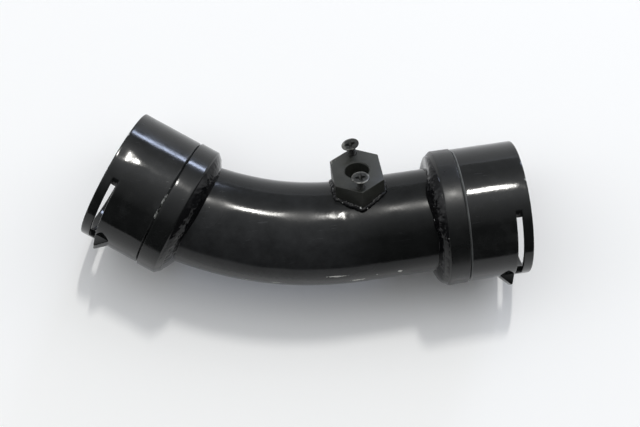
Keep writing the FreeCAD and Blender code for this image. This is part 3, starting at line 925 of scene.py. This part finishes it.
def beadRun(side, angle):
    stops = weld["run"][side]
    for i, stop in enumerate(stops):
        ahead = stops[(i + 1) % len(stops)]
        span = (ahead[0] - stop[0]) % 360
        gone = (math.degrees(angle) - stop[0]) % 360
        if gone < span:
            share = 0.5 - 0.5 * math.cos(math.pi * gone / span)
            return [here + (there - here) * share for here, there in zip(stop[1:], ahead[1:])]


def beadLumps(bead, puddled, point):
    # how far a bead's skin stands out: puddles, slow lumps and a fine crust
    lumps = puddled * puddle(point, bead["puddleSize"]) + bead["lump"] * fractal(point, bead["lumpSize"], 2)
    return lumps + bead["crust"] * fractal(point, bead["crustSize"], 2)


def makeCollarWeld(side):
    w = weld
    root = tubeRadius
    bevelLow, bevelHigh = (Vector(end) for end in w["bevel"])
    shift = Vector((math.sin(turn), math.cos(turn), 0)) * (tubeAside if side == "left" else 0.0)
    # share of the way up the shown skin, then the four hidden corners
    profile = [Vector((k / w["steps"], 1)) for k in range(w["steps"] + 1)]
    profile += [Vector((k, 0)) for k in range(4)]

    def place(share, shown, column):
        angle = math.tau * column / w["columns"]
        leg, full, lumpy, climb = beadRun(side, angle)
        top = bevelLow.lerp(bevelHigh, climb)
        foot = Vector((-leg, root))
        if not shown:
            deep = root - w["sink"]
            hidden = [top + Vector(w["tuck"]), w["heel"], (w["heel"][0], deep), (-leg, deep)]
            along, radius = hidden[int(share)]
            spot = socketPoint(side, along, radius, angle) + shift * (1 if share > 1.5 else 0)
            return sunkToTube(spot, w["sink"]) * mm
        chord = top - foot
        bulge = (Vector((-leg, top.y)) - foot.lerp(top, 0.5)) * full
        spot = foot.lerp(top, share) + bulge * 4 * share * (1 - share)
        grow = lumpy * beadLumps(w, w["puddle"][side], socketPoint(side, spot.x, spot.y, angle))
        spot += Vector((-chord.y, chord.x)).normalized() * grow * min(1.0, 5 * share, 4 * (1 - share) + 0.15)
        solid = socketPoint(side, spot.x, spot.y, angle) + shift * (1 - share)
        solid -= tubeNormal(solid) * (tubeOut(solid) + w["press"]) * (1 - share) ** 6
        return sunkToTube(solid, w["sink"]) * mm

    bm, grid = lathe(profile, w["columns"], place)
    piece = makePiece(side + "Weld", bm, weldEnamel, side + "_weld", sharp=75)
    # the wear mark here paints pale glint specks on the bead
    setMarks(piece, "wear", lambda point: w["glintSpecks"][side] * max(0.0, fractal(point, w["glintSpeckSize"], 2)))
    return piece


for side in sockets:
    makeCollarWeld(side)
print("collar welds made")


# Sensor block, a hexagon sawn from bar and coped to the tube

def hexagonCorners():
    halfWidth, halfLength, halfFlat = boss["width"] / 2, boss["length"] / 2, boss["flat"] / 2
    return [(0, halfLength), (-halfWidth, halfFlat), (-halfWidth, -halfFlat),
            (0, -halfLength), (halfWidth, -halfFlat), (halfWidth, halfFlat)]


bm = bmesh.new()
topLoop = [bm.verts.new(bossSpace @ Vector((x, y, 0)) * mm) for x, y in hexagonCorners()]
footLoop = [bm.verts.new(bossSpace @ Vector((x, y, -bossHeight)) * mm) for x, y in hexagonCorners()]
bm.faces.new(topLoop)
bm.faces.new(footLoop)
joinLoops(bm, [topLoop, footLoop])
bmesh.ops.recalc_face_normals(bm, faces=bm.faces)
blockEdges = [e for e in bm.edges if not all(v in footLoop for v in e.verts)]
bmesh.ops.bevel(bm, geom=blockEdges, offset=boss["edge"] * mm, segments=3, profile=0.5, affect="EDGES")
sensorBlock = makePiece("sensorBlock", bm, blockEnamel, "sensor_boss")

bm = bmesh.new()
copeGrid = tubeGrid(bm, *boss["cope"], tubeRadius - boss["sunk"], False)
bm.faces.new([column[0] for column in copeGrid])
bm.faces.new([column[-1] for column in copeGrid])
cutAway(sensorBlock, makePiece("cutter", bm, tubeEnamel))
for aside, radius, bottom, lead, columns in (
    (0.0, boss["bore"], bossHeight, boss["boreLead"], boss["cutColumns"][0]),
    (-0.5, boss["screwHole"], boss["stand"], boss["screwLead"], boss["cutColumns"][1]),
    (0.5, boss["screwHole"], boss["stand"], boss["screwLead"], boss["cutColumns"][1]),
):
    deep, wider, high = lead
    profile = [(radius, -bottom), (radius, -deep), (radius + wider, high), (radius + wider, boss["cutOver"])]
    spot = bossSpace @ Matrix.Translation((0, aside * boss["screwSpacing"], 0))
    cutAway(sensorBlock, latheCutter(profile, spot, columns))
resmooth(sensorBlock, limit=30)


def blockWear(point):
    local = bossSpace.inverted() @ point
    if math.hypot(local.x, local.y) <= boss["wearFrom"]:
        return 0.0
    rim = max(0.0, 1 - abs(local.z) / boss["wearReach"])
    return boss["wear"] * rim * (0.5 + 0.5 * fractal(point, boss["wearSize"], 2))


setMarks(sensorBlock, "wear", blockWear)
print("sensor block made")


# Bead round the foot of the block

footBead = {
    "radius": 1.6, "dull": 0.16, "steps": 460, "around": 40, "puddle": 0.5, "puddleSize": 2.4,
    "lump": 0.6, "lumpSize": 5.0, "crust": 0.12, "crustSize": 0.9,
    "most": 0.9,   # how far a lump may stand out or in
    "settle": 0.1, "sink": 0.7,
    "smooth": 6,   # times the path is smoothed, so the bead goes round the corners
    # pale specks painted as glints on the bead
    "glintSpecks": 0.85, "glintSpeckSize": 2.2,
}


def footPoint(x, y):
    # straight down the block's side to the tube's skin
    high, low = 0.0, -bossHeight
    for _ in range(40):     # halved until it no longer matters
        middle = (high + low) / 2
        if tubeOut(bossSpace @ Vector((x, y, middle))) > 0:
            high = middle
        else:
            low = middle
    return bossSpace @ Vector((x, y, high))


def makeFootBead():
    f = footBead
    corners = [Vector(c) for c in hexagonCorners()]
    lengths = [(corners[(i + 1) % 6] - corners[i]).length for i in range(6)]
    total = sum(lengths)
    path = []
    for step in range(f["steps"]):
        run = total * step / f["steps"]
        i = 0
        while run > lengths[i]:
            run -= lengths[i]
            i += 1
        spot = corners[i].lerp(corners[(i + 1) % 6], run / lengths[i])
        path.append(footPoint(spot.x, spot.y))
    for _ in range(f["smooth"]):
        path = [(path[i - 1] + path[i] * 2 + path[(i + 1) % len(path)]) / 4 for i in range(len(path))]
    bm = bmesh.new()
    rings = []
    for i, spot in enumerate(path):
        ahead = (path[(i + 1) % len(path)] - path[i - 1]).normalized()
        out = tubeNormal(spot)
        side = ahead.cross(out).normalized()
        ring = []
        for k in range(f["around"]):
            about = math.tau * k / f["around"]
            way = out * math.cos(about) + side * math.sin(about)
            grow = beadLumps(f, f["puddle"], spot + way * f["radius"]) - f["settle"]
            grow = max(-f["most"], min(f["most"], grow))
            ring.append(bm.verts.new(sunkToTube(spot + way * (f["radius"] + grow), f["sink"]) * mm))
        rings.append(ring)
    joinLoops(bm, rings + rings[:1])
    piece = makePiece("blockWeld", bm, weldEnamel, "boss_weld", sharp=75)
    # the wear mark here paints pale glint specks on the bead
    setMarks(piece, "wear", lambda point: f["glintSpecks"] * max(0.0, fractal(point, f["glintSpeckSize"], 2)))
    setMarks(piece, "dull", lambda point: f["dull"])
    return piece


makeFootBead()
print("block weld made")


# Sensor screws, countersunk with a cross recess and a rolled thread

screw = {
    "stand": 6.9, "reach": 8.75,
    # radius and height: over the end, over the head's underside, over its top
    "point": [(0.9, 0.0), (1.5, 0.5)],
    "cone": [(2.0, -2.75), (2.35, -2.45), (4.4, -0.25), (4.72, -0.08), (4.85, 0.1)],
    "face": [(4.85, -0.22), (4.76, -0.07), (4.6, 0.0)],
    "dome": 0.05, "domeFoot": 4.6, "domeRings": (3.6, 2.4, 1.2, 0.3),
    "rim": 0.55,
    "threadEnds": (0.9, 2.85),   # over the end, under the head's rim
    "shank": 2.0, "pitch": 0.7, "threadDepth": 0.38, "columns": 72, "rowsPerTurn": 10,
    "recess": 2.9, "recessHalf": 0.78,
    "recessCorner": 1.25,   # the cross is wider where its arms meet
    "recessLevels": [(0.35, -1.7), (0.72, -0.765), (1.0, 0.06), (1.0, 1.0)],
    "lean": {"far": -10.0, "near": 0.0},   # the far one is knocked over to the left
    "leanFrom": 0.6, "leanTo": 2.4,
    "paleRimFrom": (4.5, 5.5),   # radius and height of the rim, painted pale: partly rubbed metal, partly a painted glint
    "paleRimSize": 3.0,
}


def screwProfile():
    # (radius, height, threaded) from the point of the screw up to the middle of the head
    under = screw["stand"] - screw["rim"]
    bottom, top = screw["threadEnds"][0] - screw["reach"], under - screw["threadEnds"][1]
    count = round((top - bottom) / screw["pitch"] * screw["rowsPerTurn"])
    points = [(radius, height - screw["reach"], False) for radius, height in screw["point"]]
    points += [(screw["shank"], bottom + (top - bottom) * k / count, True) for k in range(count + 1)]
    points += [(radius, under + height, False) for radius, height in screw["cone"]]
    dome = [(radius, screw["dome"] * (1 - radius / screw["domeFoot"])) for radius in screw["domeRings"]]
    points += [(radius, screw["stand"] + height, False) for radius, height in screw["face"] + dome]
    return points


def leaning(local, lean):
    # straight in its hole, bent over from the face up
    share = ramp(local.z, 0, screw["leanTo"])
    pivot = Vector((0, 0, screw["leanFrom"]))
    return pivot + Matrix.Rotation(math.radians(lean) * share, 3, "Y") @ (local - pivot)


def makeScrew(name, space, lean):
    bm = bmesh.new()
    rings = []
    for radius, height, threaded in screwProfile():
        ring = []
        for c in range(screw["columns"]):
            about = math.tau * c / screw["columns"]
            r = radius
            if threaded:
                share = (height / screw["pitch"] - c / screw["columns"]) % 1.0
                r -= screw["threadDepth"] * min(1.0, max(0.0, 1.25 - abs(2 * share - 1) * 1.5))
            local = leaning(Vector((r * math.cos(about), r * math.sin(about), height)), lean)
            ring.append(bm.verts.new(space @ local * mm))
        rings.append(ring)
    closeLoops(bm, rings)
    piece = makePiece(name, bm, screwOxide, "sensor_screws", sharp=35)
    bm = bmesh.new()
    wide, slim = screw["recess"], screw["recessHalf"]
    inner = slim * screw["recessCorner"]
    quarter = [(wide, slim), (inner, inner), (slim, wide)]
    star = []
    for _ in range(4):
        star += quarter
        quarter = [(-y, x) for x, y in quarter]
    loops = []
    for grow, low in screw["recessLevels"]:
        spots = [leaning(Vector((x * grow, y * grow, screw["stand"] + low)), lean) for x, y in star]
        loops.append([bm.verts.new(space @ spot * mm) for spot in spots])
    closeLoops(bm, loops)
    cutAway(piece, makePiece("cutter", bm, screwOxide))
    resmooth(piece, limit=35)

    def worn(point):
        local = space.inverted() @ point
        radius, height = screw["paleRimFrom"]
        atRim = math.hypot(local.x, local.y) > radius and local.z > height
        # the head's rim is painted pale: partly rubbed metal, partly a painted glint
        return max(0.0, 0.7 + fractal(point, screw["paleRimSize"], 2)) if atRim else 0.1

    setMarks(piece, "wear", worn)
    return piece


for end, shift in (("far", 1), ("near", -1)):
    screwSpace = bossSpace @ Matrix.Translation((0, shift * boss["screwSpacing"] / 2, 0))
    makeScrew(end + "Screw", screwSpace, screw["lean"][end])
print("screws made")


# Floor and light

stage = {"floor": -37.5, "half": 12000.0, "white": "#fdfdfd"}
bm = bmesh.new()
half = stage["half"]
floorCorners = [(-half, -half), (half, -half), (half, half), (-half, half)]
bm.faces.new([bm.verts.new(Vector((x, y, stage["floor"])) * mm) for x, y in floorCorners])
paperWhite, tree = newMaterial("whitePaper")
# White paper sheet: matt and clean, so the picture shows it plain white and it keeps the shadow
paper = addNode(tree, "BsdfPrincipled", {
    "Base Color": linear(stage["white"]),
    "Roughness": 0.9,
    "Specular IOR Level": 0.0,
})
addNode(tree, "OutputMaterial", {"Surface": paper})
floor = makePiece("floor", bm, paperWhite)

lights = {
    # name: towards it from the object, distance, width, height (mm), power (W), colour
    "lamp": ((0.18, 0.55, 0.815), 5000.0, 130.0, 480.0, 68.0, "#fffdf8"),
    "window": ((0.51, 0.845, 0.16), 1700.0, 480.0, 140.0, 7.8, "#d5e2ff"),
}
lightTarget = Vector((-95, 12, 20)) * mm
for name, (towards, distance, width, height, power, colour) in lights.items():
    lamp = bpy.data.lights.new(name, "AREA")
    lamp.shape = "RECTANGLE"
    lamp.size, lamp.size_y = width * mm, height * mm
    lamp.energy = power
    lamp.color = linear(colour)[:3]
    holder = bpy.data.objects.new(name, lamp)
    scene.collection.objects.link(holder)
    away = Vector(towards).normalized()
    holder.location = lightTarget + away * distance * mm
    holder.rotation_euler = away.to_track_quat("Z", "Y").to_euler()

# The room: bright on the window side and overhead, dark on the other side.
# Degrees go from the window side's horizon over the top to the far horizon.
room = {
    "colour": "#f2f4f6", "level": 1.06,
    "tones": [(0, 0.55), (22, 0.58), (36, 0.9), (48, 1.5), (57, 2.0), (68, 1.7),
              (80, 1.05), (92, 0.65), (106, 0.38), (118, 0.1), (180, 0.06)],
}
world = bpy.data.worlds.new("room")
scene.world = world
world.use_nodes = True
tree = world.node_tree
tree.nodes.clear()
towards = addNode(tree, "TexCoord").outputs["Generated"]
axes = addNode(tree, "SeparateXYZ", {"Vector": towards})
over = addNode(tree, "Math", {0: axes.outputs["Z"], 1: axes.outputs["Y"]}, operation="ARCTAN2")
share = addNode(tree, "MapRange", {"Value": over, "From Min": 0.0, "From Max": math.pi})
tones = addNode(tree, "ValToRGB", {"Fac": share})
stops = tones.color_ramp.elements
while len(stops) < len(room["tones"]):
    stops.new(1.0)
for stop, (degrees, tone) in zip(stops, room["tones"]):
    stop.position = degrees / 180
    stop.color = [tone * c for c in linear(room["colour"])[:3]] + [1.0]
walls = addNode(tree, "Background", {"Color": tones, "Strength": room["level"]})
addNode(tree, "OutputWorld", {"Surface": walls})

scene.view_settings.view_transform = "Standard"
print("floor and light set")
